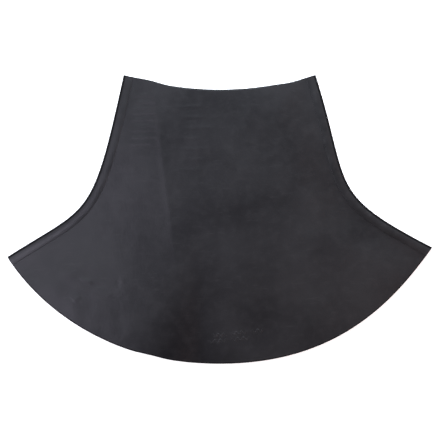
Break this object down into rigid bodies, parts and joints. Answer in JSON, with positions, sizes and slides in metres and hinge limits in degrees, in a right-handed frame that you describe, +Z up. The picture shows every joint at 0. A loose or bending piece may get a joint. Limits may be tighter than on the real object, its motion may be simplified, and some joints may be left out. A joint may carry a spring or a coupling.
{
  "type": "kayak spray skirt",
  "caption": "Neoprene skirt laid flat: narrow waist opening, wide curved hem, and a folded rubber binding along each flaring side seam.",
  "frame": {"origin": "under the middle of the skirt's outline, on the surface that it lies on", "axes": "+X to the right across the width, +Y from the hem towards the waist edge, +Z up out of the front panel"},
  "size_m": [0.8492, 0.5767, 0.0332],
  "materials": {
    "neoprene": "smooth-skin foam neoprene, black with a satin sheen",
    "binding_rubber": "smooth black rubber, a little glossier than the panels",
    "seam_tape": "matte black nylon-faced tape",
    "elastic_band": "ribbed dark grey woven elastic",
    "stretch_facing": "matte black stretch jersey"
  },
  "bodies": {
    "root": {"front_panel": "neoprene", "back_panel": "neoprene", "left_seam_binding": "binding_rubber", "right_seam_binding": "binding_rubber", "left_inner_seam_tape": "seam_tape", "right_inner_seam_tape": "seam_tape", "hem_elastic": "elastic_band", "front_hem_facing": "stretch_facing", "back_hem_facing": "stretch_facing", "front_waist_tape": "seam_tape", "back_waist_tape": "seam_tape"}
  },
  "joints": []
}
